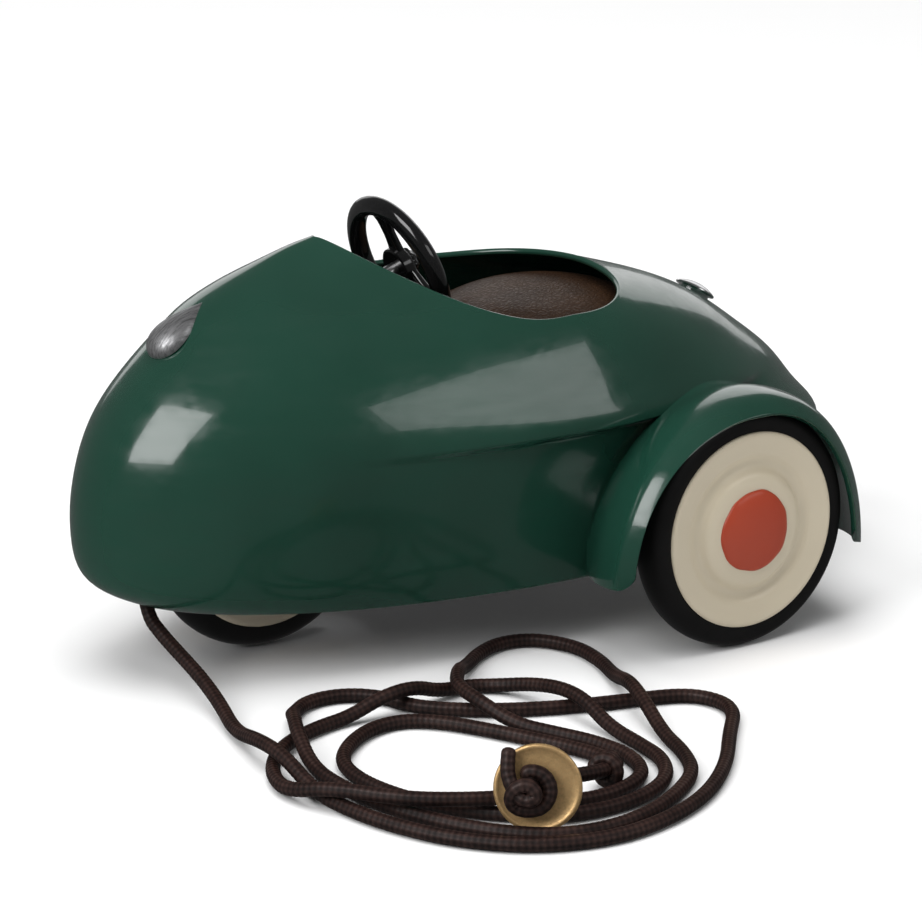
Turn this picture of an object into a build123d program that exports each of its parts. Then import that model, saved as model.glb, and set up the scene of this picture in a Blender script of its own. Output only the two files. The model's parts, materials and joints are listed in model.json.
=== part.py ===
"""Pull-along toy car: pressed-metal teardrop body on three wheels, with a pull cord.

Frame: +X towards the nose, +Y to the car's left, +Z up; millimetres.
Origin: on the floor, at the centre of the car's plan outline.
"""

from build123d import *
import math
import os

# ---------------------------------------------------------------- driving dimensions
SHEET = 1.2                 # thickness of the pressed steel sheet
BODY_HALF_LENGTH = 95.25
BOTTOM_EDGE_Z = 15.6        # lower edge of the body shell

# Body outline at each height: height, half width, nose, tail. It is widest at BODY_MID_X.
BODY_MID_X = -4.5
BODY_LEVELS = [
    (15.6, 40.6, 85.2, -84.0), (18.0, 41.1, 90.0, -88.0), (22.0, 41.8, 93.8, -92.0),
    (30.0, 42.6, BODY_HALF_LENGTH, -BODY_HALF_LENGTH), (38.0, 43.3, 94.6, -88.9), (46.0, 43.5, 92.4, -81.5),
    (54.0, 41.9, 88.4, -71.5), (62.0, 38.2, 81.7, -59.7), (67.0, 35.0, 76.6, -49.0),
    (70.6, 32.0, 72.8, -38.3), (74.0, 28.0, 68.9, -27.6), (78.0, 22.2, 61.9, -20.2),
    (82.0, 15.4, 52.1, -16.0), (85.0, 9.2, 44.0, -14.0), (86.8, 4.5, 36.5, -13.0),
]
NOSE_POWER = 2.0            # superellipse powers of the outline ahead of and behind the middle
TAIL_POWER = 1.75

# Cockpit opening, seen from above
OPENING_MID_X = -2.0
OPENING_HALF_WIDTH = 33.0
OPENING_FRONT_X = 39.0
OPENING_REAR_X = -31.1
OPENING_FRONT_POWER = (2.2, 1.06)   # along, across
OPENING_REAR_POWER = (2.4, 2.25)

# Wheels: one in front under the nose, two behind outside the body
WHEEL_R = 26.0
TYRE_W = 8.0
TYRE_SHOULDER_R = 3.0
DISC_R = 21.2
CAP_R = 8.8
REAR_AXLE_X = -30.5
FRONT_AXLE_X = 52.7
REAR_WHEEL_Y = 57.6         # middle of a rear tyre
AXLE_R = 1.5
BUSH_R = 3.2
RUNNING_CLEARANCE = 0.06
AXLE_HOLE_R = 4.0           # clearance hole in the shell round each end of the rear axle

# Rear fenders: the arch leans back from the lip to its root on the body
LIP_Y = 64.0
LIP_MID = (-31.5, 17.0)
LIP_FRONT, LIP_REAR, LIP_RISE = 33.5, 26.0, 34.4
FENDER_FOOT_Z = 15.8

# Floor plate inside the body shell
FLOOR_Z = 18.0
FLOOR_TOP = FLOOR_Z + SHEET
FLOOR_OUTLINE = (39.3, 84.6, -83.4)   # half width, nose and tail; it passes the shell's bottom opening

# Seat
SEAT_X = -19.5
SEAT_HALF_LENGTH, SEAT_HALF_WIDTH = 27.5, 33.0
SEAT_BASE_Z, SEAT_TOP_Z = 52.0, 68.0

# Steering: the column falls STEER_LEAN degrees towards the nose
STEER_POINT = (17.0, 0.0, 77.0)
STEER_LEAN = 20.3
RING_R = 14.6
RING_TUBE_R = 2.1
COLUMN_R = 1.6
COLUMN_LENGTH = 24.0

# Pull cord and its brass disc
CORD_R = 1.5
EYELET_X = 81.3
EYELET_BORE_R, EYELET_NECK_R, EYELET_FLANGE_R = 2.0, 2.4, 3.0
DISC_TAG_R = 8.3
DISC_TAG_AT = (67.4, 121.2, 8.6)
DISC_TAG_TURN = 38.0        # heading of the disc's face from +Y towards +X, degrees
DISC_TAG_TILT = 12.0        # how far the face looks up


# ---------------------------------------------------------------- shared shapes
def superellipse(angle, half_width, front, rear, middle, front_power, rear_power):
    """Point of a plan outline; angle 0 is the nose and 90 is the left side."""
    along, across = math.cos(math.radians(angle)), math.sin(math.radians(angle))
    powers, reach = (front_power, front - middle) if along >= 0 else (rear_power, middle - rear)
    along_power, across_power = powers if isinstance(powers, tuple) else (powers, powers)
    x = middle + math.copysign(reach * abs(along) ** (2 / along_power), along)
    y = math.copysign(half_width * abs(across) ** (2 / across_power), across)
    return x, y


def outline_face(half_width, front, rear, middle, front_power, rear_power, z, count=28):
    """Flat face inside a smooth closed plan outline at height z."""
    points = [
        superellipse((i + 0.5) * 360 / count, half_width, front, rear, middle, front_power, rear_power)
        for i in range(count)
    ]
    return make_face(Spline(*[(x, y, z) for x, y in points], periodic=True))


def body_face(z, half_width, nose, tail):
    return outline_face(half_width, nose, tail, BODY_MID_X, NOSE_POWER, TAIL_POWER, z)


def body_form(inset=0.0, drop=0.0):
    """The body as a closed solid, moved inwards by inset and down by drop."""
    return loft([body_face(z - drop, half - inset, nose - inset, tail + inset)
                 for z, half, nose, tail in BODY_LEVELS])


def bar_y(radius, y0, y1, x, z):
    """Round bar along Y."""
    return Pos(x, (y0 + y1) / 2, z) * Rot(90, 0, 0) * Cylinder(radius, abs(y1 - y0))


def bar_z(radius, z0, z1, x, y):
    """Round bar along Z."""
    return Pos(x, y, (z0 + z1) / 2) * Cylinder(radius, z1 - z0)


def block(x0, x1, y0, y1, z0, z1):
    return Pos((x0 + x1) / 2, (y0 + y1) / 2, (z0 + z1) / 2) * Box(x1 - x0, y1 - y0, z1 - z0)


def turned_y(profile, x, y, z, side=1):
    """Solid turned about a Y axis through (x, y, z); the profile is (radius, distance outwards)."""
    points = [(r, side * out) for r, out in profile]
    face = make_face(Polyline(*points, close=True))
    return Pos(x, y, z) * revolve(face, Axis.Y)


# ---------------------------------------------------------------- body and fenders
def opening_cutter():
    face = outline_face(OPENING_HALF_WIDTH, OPENING_FRONT_X, OPENING_REAR_X, OPENING_MID_X,
                        OPENING_FRONT_POWER, OPENING_REAR_POWER, 60.0, count=36)
    return extrude(face, amount=40.0, dir=(0, 0, 1))


def body_shell(form):
    """Pressed shell: open below, with the cockpit opening and a hole for each end of the rear axle."""
    hollow = body_form(inset=1.1, drop=0.9)
    closed = form - hollow
    shell = closed - opening_cutter()
    # A boolean can fail quietly and leave the cockpit roofed over, so the cut is checked here
    if not 0.7 * closed.volume < shell.volume < 0.95 * closed.volume:
        raise ValueError("the cockpit opening was not cut through the shell")
    shell -= bar_y(AXLE_HOLE_R, -60, 60, REAR_AXLE_X, WHEEL_R)
    return shell


def arch_face(y, grow):
    """Closed arch outline on a plane of constant y; it leans back and rises towards the body."""
    root = (LIP_Y - y) / 24.0
    middle, foot = LIP_MID[0] - 4.5 * root, LIP_MID[1] + 2.0 * root
    front, rear = LIP_FRONT - 1.7 * root + grow, LIP_REAR + 5.8 * root + grow
    rise = LIP_RISE - 2.6 * root + grow
    points = []
    for i in range(13):
        angle = math.radians(15.0 * i)
        reach = front if angle < math.pi / 2 else rear
        points.append((middle + reach * math.cos(angle), y, foot + rise * math.sin(angle)))
    below = 14.0
    left, right = points[-1], points[0]
    edges = [
        Spline(*points, tangents=[(0, 0, 1), (0, 0, -1)]),
        Line(left, (left[0], y, left[2] - below)),
        Line((left[0], y, left[2] - below), (right[0], y, right[2] - below)),
        Line((right[0], y, right[2] - below), right),
    ]
    return make_face(edges)


# Crown of the fender: distance from the centreline, height of the crown over the lip's arch
FENDER_SECTIONS = [(64.0, 0.0), (61.5, 2.2), (57.0, 3.4), (50.0, 3.2), (43.0, 1.6), (34.0, 0.8), (20.0, 0.0)]


def fender(side, form):
    outer = loft([arch_face(y, grow) for y, grow in FENDER_SECTIONS])
    inner_sections = [(LIP_Y + 1.0, -SHEET - 0.9)] + [(y, grow - SHEET) for y, grow in FENDER_SECTIONS]
    inner = loft([arch_face(y, grow) for y, grow in inner_sections])
    piece = outer - inner - form
    piece -= block(-90, 20, 0, 70, 0, FENDER_FOOT_Z)
    piece -= block(-90, 20, 0, 30, 0, 60)
    return piece if side > 0 else mirror(piece, Plane.XZ)


# ---------------------------------------------------------------- floor plate and fastenings
WHEEL_SLOT = (FRONT_AXLE_X - 25.8, FRONT_AXLE_X + 25.8, -8.0, 8.0)
EAR_T = 1.6                 # thickness of the brackets' and the seat stand's sheet
SEAT_LEGS_X = (-44.0, 6.0)
BRACKET_RIVETS = [(FRONT_AXLE_X, 15.6), (FRONT_AXLE_X, -15.6), (REAR_AXLE_X, 28.6), (REAR_AXLE_X, -28.6)]
SEAT_RIVETS = [(SEAT_LEGS_X[0] - 5.4, 0.0), (SEAT_LEGS_X[1] + 5.4, 0.0)]
TAB_ANGLES = [48, 132, 228, 312]      # places of the shell's fixing tabs around the plan outline
SCREW_R = 1.25
RIVET_R = 1.2


def tab_places():
    """Centres of the four fixing tabs, just inside the shell wall."""
    half, nose, tail = 41.1 - 8.0, 90.0 - 8.0, -88.0 + 8.0
    return [superellipse(a, half, nose, tail, BODY_MID_X, NOSE_POWER, TAIL_POWER) for a in TAB_ANGLES]


def flush_head(x, y, head_r, shank_r):
    """Countersunk head level with the floor plate's underside."""
    return Pos(x, y, FLOOR_Z + 0.5) * Cone(head_r, shank_r, 1.0)


def floor_plate():
    plate = extrude(body_face(FLOOR_Z, *FLOOR_OUTLINE), amount=SHEET, dir=(0, 0, 1))
    x0, x1, y0, y1 = WHEEL_SLOT
    plate -= fillet(block(x0, x1, y0, y1, FLOOR_Z - 1, FLOOR_TOP + 1).edges().filter_by(Axis.Z), 5.0)
    plate -= bar_z(EYELET_NECK_R, FLOOR_Z - 1, FLOOR_TOP + 1, EYELET_X, 0)
    for x, y in tab_places():
        plate -= bar_z(SCREW_R, FLOOR_Z - 1, FLOOR_TOP + 1, x, y) + flush_head(x, y, 2.5, SCREW_R)
    for x, y in BRACKET_RIVETS + SEAT_RIVETS:
        plate -= bar_z(RIVET_R, FLOOR_Z - 1, FLOOR_TOP + 1, x, y) + flush_head(x, y, 2.2, RIVET_R)
    return plate


def shell_tabs(hollow):
    """Tabs brazed inside the shell wall that the floor plate is screwed to."""
    tabs = []
    for x, y in tab_places():
        y0, y1 = sorted((y - math.copysign(5, y), y + math.copysign(30, y)))
        tab = block(x - 5, x + 5, y0, y1, FLOOR_TOP, FLOOR_TOP + SHEET) & hollow
        tabs.append(tab - bar_z(SCREW_R, FLOOR_Z, FLOOR_TOP + 3, x, y))
    return tabs


def floor_screws():
    """Countersunk screws up through the plate into the tabs; their heads are flush underneath."""
    screws = []
    for x, y in tab_places():
        screw = bar_z(SCREW_R, FLOOR_Z, FLOOR_TOP + SHEET + 1.5, x, y)
        slot = block(x - 1.9, x + 1.9, y - 0.3, y + 0.3, FLOOR_Z - 1.0, FLOOR_Z + 0.4)
        screws.append(screw + flush_head(x, y, 2.5, SCREW_R) - slot)
    return screws


# ---------------------------------------------------------------- wheels and axles
FRONT_EAR_Y = 9.6           # inner faces of the front bracket's ears
REAR_EAR_Y = 33.0           # inner faces of the rear brackets' ears
EAR_TOP = WHEEL_R + 6.0


def bracket(x, y_inner, side):
    """Folded ear that carries one bush: foot on the floor plate, hole for the bush."""
    y0, y1 = sorted((side * y_inner, side * (y_inner + EAR_T)))
    ear = block(x - 8, x + 8, y0, y1, FLOOR_TOP, EAR_TOP)
    ear = fillet(ear.edges().filter_by(Axis.Y).group_by(Axis.Z)[-1], 6.0)
    if y_inner < 20:
        f0, f1 = sorted((side * y_inner, side * (y_inner + 9.2)))
    else:
        f0, f1 = sorted((side * (y_inner - 8), side * (y_inner + EAR_T)))
    foot = block(x - 8, x + 8, f0, f1, FLOOR_TOP, FLOOR_TOP + EAR_T)
    piece = ear + foot - bar_y(BUSH_R, y0 - 1, y1 + 1, x, WHEEL_R)
    for rx, ry in BRACKET_RIVETS:
        piece -= bar_z(RIVET_R, FLOOR_Z - 1, FLOOR_TOP + 4, rx, ry)
    return piece


def rivet(x, y):
    """Rivet through a foot and the floor plate: domed above, flush below."""
    top = FLOOR_TOP + EAR_T
    dome = Pos(x, y, top) * (Sphere(2.1) & Pos(0, 0, 1.5) * Box(6, 6, 3.0))
    return dome + bar_z(RIVET_R, FLOOR_Z, top, x, y) + flush_head(x, y, 2.2, RIVET_R)


def bush(x, y_inner, side, flange_out):
    """Flanged bush pressed into an ear; the axle runs in its bore."""
    body = bar_y(BUSH_R, side * y_inner, side * (y_inner + EAR_T), x, WHEEL_R)
    f0 = y_inner + EAR_T if flange_out else y_inner - 1.0
    flange = bar_y(BUSH_R + 1.6, side * f0, side * (f0 + 1.0), x, WHEEL_R)
    return body + flange - bar_y(AXLE_R + RUNNING_CLEARANCE, side * (y_inner - 2), side * (y_inner + 5),
                                 x, WHEEL_R)


def tyre_profile(half):
    """Tyre section (radius, distance from the middle): a round tread over a flat seat on the disc."""
    r, s = WHEEL_R, TYRE_SHOULDER_R
    points = [(DISC_R - 0.6, -half), (r - s, -half)]
    for i in range(1, 6):
        a = math.radians(15 * i)
        points.append((r - s + s * math.sin(a), -half + s * (1 - math.cos(a))))
    points += [(r, -half + s), (r, half - s)]
    for i in range(5, 0, -1):
        a = math.radians(15 * i)
        points.append((r - s + s * math.sin(a), half - s * (1 - math.cos(a))))
    points += [(r - s, half), (DISC_R, half), (DISC_R, half - 0.6), (DISC_R - 0.6, half - 0.6)]
    return points


def disc_profile(half, bore):
    """Pressed wheel disc, dished on its outer face, with a hub barrel round the bore."""
    face = half
    return [
        (bore, -half), (6.0, -half), (6.0, half - 4.4), (DISC_R - 1.8, half - 4.4), (DISC_R - 1.8, -half),
        (DISC_R - 0.6, -half), (DISC_R - 0.6, face - 0.6), (DISC_R, face - 0.6), (DISC_R, face + 0.2),
        (DISC_R - 1.0, face + 0.6), (DISC_R - 2.2, face + 0.3), (16.4, face - 0.1), (14.8, face - 0.9),
        (13.6, face - 0.9), (12.0, face + 0.5), (10.4, face + 1.0), (CAP_R, face + 1.1), (bore, face + 1.1),
    ]


def cap_profile(half, hollow):
    """Domed hub cap standing on the disc, hollow over the axle's end."""
    base, rise = half + 1.1, 1.8
    points = [(0.0, base + rise)]
    for i in range(1, 7):
        a = math.radians(15 * i)
        points.append((CAP_R * math.sin(a), base + rise * math.cos(a)))
    return points + [(hollow, base), (hollow, base + 1.2), (0.0, base + 1.2)]


def rear_wheel(side):
    half = TYRE_W / 2
    x, y, z = REAR_AXLE_X, side * REAR_WHEEL_Y, WHEEL_R
    tyre = turned_y(tyre_profile(half), x, y, z, side)
    disc = turned_y(disc_profile(half, AXLE_R), x, y, z, side)
    cap = turned_y(cap_profile(half, AXLE_R), x, y, z, side)
    return tyre, disc, cap


def spacer(side):
    """Tube on the rear axle between the bush and the wheel."""
    y0, y1 = side * (REAR_EAR_Y + EAR_T + 1.2), side * (REAR_WHEEL_Y - TYRE_W / 2)
    tube = bar_y(3.0, y0, y1, REAR_AXLE_X, WHEEL_R)
    return tube - bar_y(AXLE_R, y0 - side * 2, y1 + side * 2, REAR_AXLE_X, WHEEL_R)


def front_disc():
    """Front wheel disc: the same dished face on both sides."""
    half = TYRE_W / 2
    lip = [(DISC_R, half + 0.0), (DISC_R - 1.0, half + 0.4), (DISC_R - 2.2, half - 0.1), (16.0, half - 0.9),
           (13.6, half - 2.1), (11.6, half - 2.2), (10.4, half - 1.2), (CAP_R, half - 0.8), (AXLE_R, half - 0.8)]
    points = lip + [(r, -out) for r, out in reversed(lip)]
    return turned_y(points, FRONT_AXLE_X, 0, WHEEL_R)


def front_tyre():
    half = TYRE_W / 2
    r, s = WHEEL_R, TYRE_SHOULDER_R
    points = [(DISC_R, -half)] + [p for p in tyre_profile(half) if p[0] > DISC_R] + [(DISC_R, half)]
    return turned_y(points, FRONT_AXLE_X, 0, WHEEL_R)


def front_cap(side):
    """Domed cap on one face of the front wheel, with a bore for the axle."""
    base, rise, bore = TYRE_W / 2 - 0.8, 2.6, AXLE_R
    points = [(bore, base)]
    for i in range(6, 0, -1):
        a = math.radians(15 * i)
        points.append((CAP_R * math.sin(a), base + rise * math.cos(a)))
    points.append((bore, base + rise))
    return turned_y(points, FRONT_AXLE_X, 0, WHEEL_R, side)


def axle_clip(side):
    """Push-on cap nut at one end of the front axle, outside its bush."""
    y0 = side * (FRONT_EAR_Y + EAR_T + 1.3)
    return bar_y(2.8, y0, y0 + side * 1.6, FRONT_AXLE_X, WHEEL_R) - bar_y(
        AXLE_R, y0 - side, y0 + side * 3, FRONT_AXLE_X, WHEEL_R)


# ---------------------------------------------------------------- seat
def seat_cushion():
    face = Pos(SEAT_X, 0, SEAT_BASE_Z) * Ellipse(SEAT_HALF_LENGTH, SEAT_HALF_WIDTH)
    pad = extrude(face, amount=SEAT_TOP_Z - SEAT_BASE_Z, dir=(0, 0, 1))
    pad = fillet(pad.edges().group_by(Axis.Z)[-1], 12.0)
    return fillet(pad.edges().group_by(Axis.Z)[0], 1.5)


def seat_base():
    """Seat board under the cushion."""
    face = Pos(SEAT_X, 0, SEAT_BASE_Z - 3.0) * Ellipse(SEAT_HALF_LENGTH - 2, SEAT_HALF_WIDTH - 2)
    return extrude(face, amount=3.0, dir=(0, 0, 1))


def seat_frame():
    """Folded sheet stand for the seat board, straddling the rear axle."""
    top = SEAT_BASE_Z - 3.0
    x0, x1 = SEAT_LEGS_X
    frame = block(x0, x1, -14, 14, top - EAR_T, top)
    for x, foot in ((x0, -1), (x1, 1)):
        low, high = sorted((x, x + foot * EAR_T))
        frame += block(low - 0.01, high + 0.01, -14, 14, FLOOR_TOP, top)
        low, high = sorted((x, x + foot * 9.0))
        frame += block(low, high, -14, 14, FLOOR_TOP, FLOOR_TOP + EAR_T)
    for x, y in SEAT_RIVETS:
        frame -= bar_z(RIVET_R, FLOOR_Z - 1, FLOOR_TOP + 4, x, y)
    return frame


# ---------------------------------------------------------------- steering
def steer_place(forward):
    """Location on the column, forward millimetres ahead of the ring's centre; local Z points back."""
    lean = math.radians(STEER_LEAN)
    x = STEER_POINT[0] + forward * math.cos(lean)
    z = STEER_POINT[2] - forward * math.sin(lean)
    return Location(Plane(origin=(x, 0, z), x_dir=(0, 1, 0), z_dir=(-math.cos(lean), 0, math.sin(lean))))


def steering_wheel():
    """Ring with three flat spokes and a bossed middle."""
    ring = Torus(RING_R, RING_TUBE_R)
    boss = Pos(0, 0, 0.4) * Cylinder(4.6, 3.0)
    for angle in (90, 210, 330):
        spoke = Pos(8.0, 0, 0.2) * Box(11.0, 3.6, 1.8)
        boss += Rot(0, 0, angle) * spoke
    boss -= Pos(0, 0, 0.4) * Cylinder(COLUMN_R, 5.0)
    return steer_place(0) * (ring + boss)


def steering_cap():
    """Domed button over the column's end."""
    return steer_place(0) * (Pos(0, 0, 1.9) * (Sphere(3.2) & Pos(0, 0, 2.0) * Box(8, 8, 4)))


def steering_column():
    return steer_place(COLUMN_LENGTH / 2 - 1.4) * Cylinder(COLUMN_R, COLUMN_LENGTH)


COLUMN_BUSH_AT = 17.0


def column_bush():
    bush_body = Cylinder(3.4, 3.2) + Pos(0, 0, 1.1) * Cylinder(4.8, 1.0)
    return steer_place(COLUMN_BUSH_AT) * (bush_body - Cylinder(COLUMN_R + RUNNING_CLEARANCE, 8.0))


def dash_bracket(hollow):
    """Cross plate under the cowl that holds the column's bush; it reaches the shell on both sides."""
    plate = Pos(0, 1.5, 0) * Box(84, 15, SHEET)
    return steer_place(COLUMN_BUSH_AT) * (plate - Cylinder(3.4, 4.0)) & hollow


def column_clip():
    """Retaining clip on the column behind the dash bracket."""
    return steer_place(COLUMN_BUSH_AT + 3.0) * (Cylinder(3.0, 1.2) - Cylinder(COLUMN_R, 3.0))


# ---------------------------------------------------------------- headlight and tail cap
LAMP_LOW = (77.6, 66.1)     # lower and upper end of the lamp on the nose's centre line: x, z
LAMP_HIGH = (65.6, 76.2)
LAMP_HALF_WIDTH = 5.4
LAMP_RISE = 3.4             # over the straight line between its ends; about 2.8 over the curved nose
TAIL_CAP_AT = (-62.3, 60.4)
TAIL_CAP_LEAN = 32.6


def headlight(form):
    """Raised teardrop lamp on the nose: round and widest low down, pointed at its upper end."""
    along = (LAMP_HIGH[0] - LAMP_LOW[0], LAMP_HIGH[1] - LAMP_LOW[1])
    length = math.hypot(*along)
    points = []
    for i in range(13):
        t = (i / 12) ** 1.6
        width = LAMP_HALF_WIDTH * 2.52 * t ** 0.5 * (1 - t) ** 1.05
        points.append((length * t, width, 0))
    face = make_face([Spline(*points, tangents=[(0, 1, 0), (1, -0.45, 0)]), Line(points[-1], points[0])])
    drop = scale(revolve(face, Axis.X, 180), by=(1, 1, LAMP_RISE / LAMP_HALF_WIDTH))
    place = Plane(origin=(LAMP_LOW[0], 0, LAMP_LOW[1]), x_dir=(along[0], 0, along[1]),
                  z_dir=(along[1], 0, -along[0]))
    return place.location * drop - form


def tail_cap(form):
    """Filler cap on the rear deck: a collar with a wider domed lid, a narrow gap under the lid's edge."""
    lid_r, lid_rise = 4.7, 1.3
    sphere_r = (lid_r ** 2 + lid_rise ** 2) / (2 * lid_rise)
    dome = Pos(0, 0, 1.0 + lid_rise - sphere_r) * Sphere(sphere_r) & Pos(0, 0, 6.0) * Box(20, 20, 10)
    lid = dome + Pos(0, 0, 0.8) * Cylinder(lid_r, 0.4)
    piece = lid + Pos(0, 0, -0.7) * Cylinder(3.6, 2.8)
    lean = math.radians(TAIL_CAP_LEAN)
    place = Plane(origin=(TAIL_CAP_AT[0], 0, TAIL_CAP_AT[1]), x_dir=(0, 1, 0),
                  z_dir=(-math.sin(lean), 0, math.cos(lean)))
    return place.location * piece - form


# ---------------------------------------------------------------- pull cord
# The cord's route: from the eyelet down to the floor, then round a loose pile of loops, to the
# brass disc. Points are x, y, z; the cord lies on the floor where no z is given, and lifts over
# each strand that it crosses.
CORD_ROUTE = [
    # out of the eyelet and down to the floor
    (81.3, 0, 19.7), (81.5, 1.5, 12.2), (81.7, 9, 9.3), (82.0, 17, 7.2), (82.7, 26, 5.2), (84.5, 36, 3.1),
    (88.3, 48, 1.6), (91.3, 62, 4.9), (92, 72, 4.9), (92.5, 83, 1.6),
    # the outermost loop
    (92.6, 93), (90.5, 105), (85, 118.5), (74.5, 130), (59.5, 135.2), (44, 132.6),
    (31, 126.5), (18.5, 116), (8, 103.5), (-1, 94), (-2, 86.4), (1.9, 80.2), (14, 76.7), (26, 72.8),
    (36, 68), (44, 62.5), (50.8, 55.5), (53, 46.5), (59.1, 41), (67.3, 40.7), (73.6, 45.6),
    (78, 53, 4.9), (83, 62.5, 4.9), (86.4, 73, 1.8),
    # the second loop, which lies in front of the disc
    (87.2, 84), (86, 97), (82, 110), (76, 120.5), (68, 128.2), (57, 130.6), (46, 128.4), (36, 123.3),
    (27, 116.5), (22, 107), (19, 96.5), (15.5, 85, 4.9), (11.5, 75, 4.9), (7, 64.5, 1.8),
    (3, 54), (2, 44), (6, 35.5), (13.5, 32.8), (21.5, 36), (30, 43, 1.9),
    (36.4, 50.2, 5.1), (42, 57.5, 5), (43.3, 67, 4.9), (40.6, 76, 1.9),
    (36.3, 84), (32.6, 93), (31.6, 103), (35.5, 112.2), (45, 116.8), (56, 117.2, 1.9),
    # over the first loops and back towards the nose
    (66, 115.7, 4.9), (76, 111, 4.9), (86, 103.5, 4.9), (93.8, 91.5, 4.9), (97.3, 81.5, 1.9),
    (95, 72.5), (89.5, 64), (82, 58), (73, 54.5), (65, 53.2),
    (57.5, 54.5, 4.9), (49.5, 53.5, 4.9), (42.3, 52, 2.1), (35, 51.3, 1.5), (29.4, 55, 1.6),
    (26.4, 62.5, 3.5), (25.2, 71, 4.9), (25.3, 79, 4.7), (26, 88, 1.9), (26.3, 98),
    # the inner loop, then up through the disc
    (27.5, 107.5), (33, 116), (41.5, 121), (51, 122.6), (61, 120.8), (70, 114), (77.3, 104.5), (81.3, 93),
    (82.3, 82.5), (79.8, 73), (73.3, 66), (65, 61), (57, 60.7), (50.7, 66.5), (46.2, 75), (42, 84),
    (38, 93.5), (36.8, 102.5, 2), (39.8, 109.6, 3.6), (47, 113, 4.8), (55, 114.8, 6.2),
    (63.4, 116.4, 7.7), (68, 121.9, 8.75),
]
HITCH_AFTER = (39.8, 109.6, 3.6)        # the hitch sits on the run that starts at this point
END_KNOT_R, INNER_KNOT_R = 3.4, 2.6


def cord_points():
    return [Vector(*p) if len(p) == 3 else Vector(p[0], p[1], CORD_R) for p in CORD_ROUTE]


def cord_radii(points):
    """Bend radius at each corner, so that neighbouring bends leave a short straight between them."""
    radii = []
    for before, at, after in zip(points, points[1:], points[2:]):
        turn = math.radians((at - before).get_angle(after - at))
        radii.append(0.45 * min((at - before).length, (after - at).length) / math.tan(turn / 2))
    return radii


def pull_cord():
    points = cord_points()
    radii = cord_radii(points)
    path = FilletPolyline(*points, radius=radii)
    cord = sweep(Plane(origin=path @ 0, z_dir=path % 0) * Circle(CORD_R), path=path)
    expected = math.pi * CORD_R ** 2 * path.length
    print("cord length", round(path.length, 1), "volume", round(cord.volume), "expected", round(expected))
    print("bend radii", [round(r, 1) for r in radii])
    return cord


def cord_eyelet():
    """Eyelet in the floor plate that the cord runs through: flanged inside, flush underneath."""
    flange = bar_z(EYELET_FLANGE_R, FLOOR_TOP, FLOOR_TOP + 0.5, EYELET_X, 0)
    neck = bar_z(EYELET_NECK_R, FLOOR_Z, FLOOR_TOP, EYELET_X, 0)
    return flange + neck - bar_z(EYELET_BORE_R, FLOOR_Z - 2, FLOOR_TOP + 2, EYELET_X, 0)


def cord_inner_knot():
    """Stopper knot on top of the eyelet, lifted clear of the cord's slightly tilted end."""
    return Pos(EYELET_X, 0, FLOOR_TOP + 0.58 + INNER_KNOT_R) * Sphere(INNER_KNOT_R)


def cord_hitch():
    """One turn of a hitch round the cord just before the disc."""
    points = cord_points()
    i = CORD_ROUTE.index(HITCH_AFTER)
    middle = (points[i] + points[i + 1]) * 0.5
    return Plane(origin=middle, z_dir=points[i + 1] - points[i]).location * Torus(2.45, 0.9)


def disc_plane():
    turn, tilt = math.radians(DISC_TAG_TURN), math.radians(DISC_TAG_TILT)
    facing = (math.sin(turn) * math.cos(tilt), math.cos(turn) * math.cos(tilt), math.sin(tilt))
    return Plane(origin=DISC_TAG_AT, z_dir=facing)


def brass_disc():
    disc = Cylinder(DISC_TAG_R, 1.2)
    disc = fillet(disc.edges(), 0.35)
    return disc_plane().location * (disc - Cylinder(1.9, 4.0))


def cord_end_knot():
    points = cord_points()
    direction = (points[-1] - points[-2]).normalized()
    centre = points[-1] + direction * (END_KNOT_R + 0.02)
    return Pos(*centre) * Sphere(END_KNOT_R)


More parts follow.
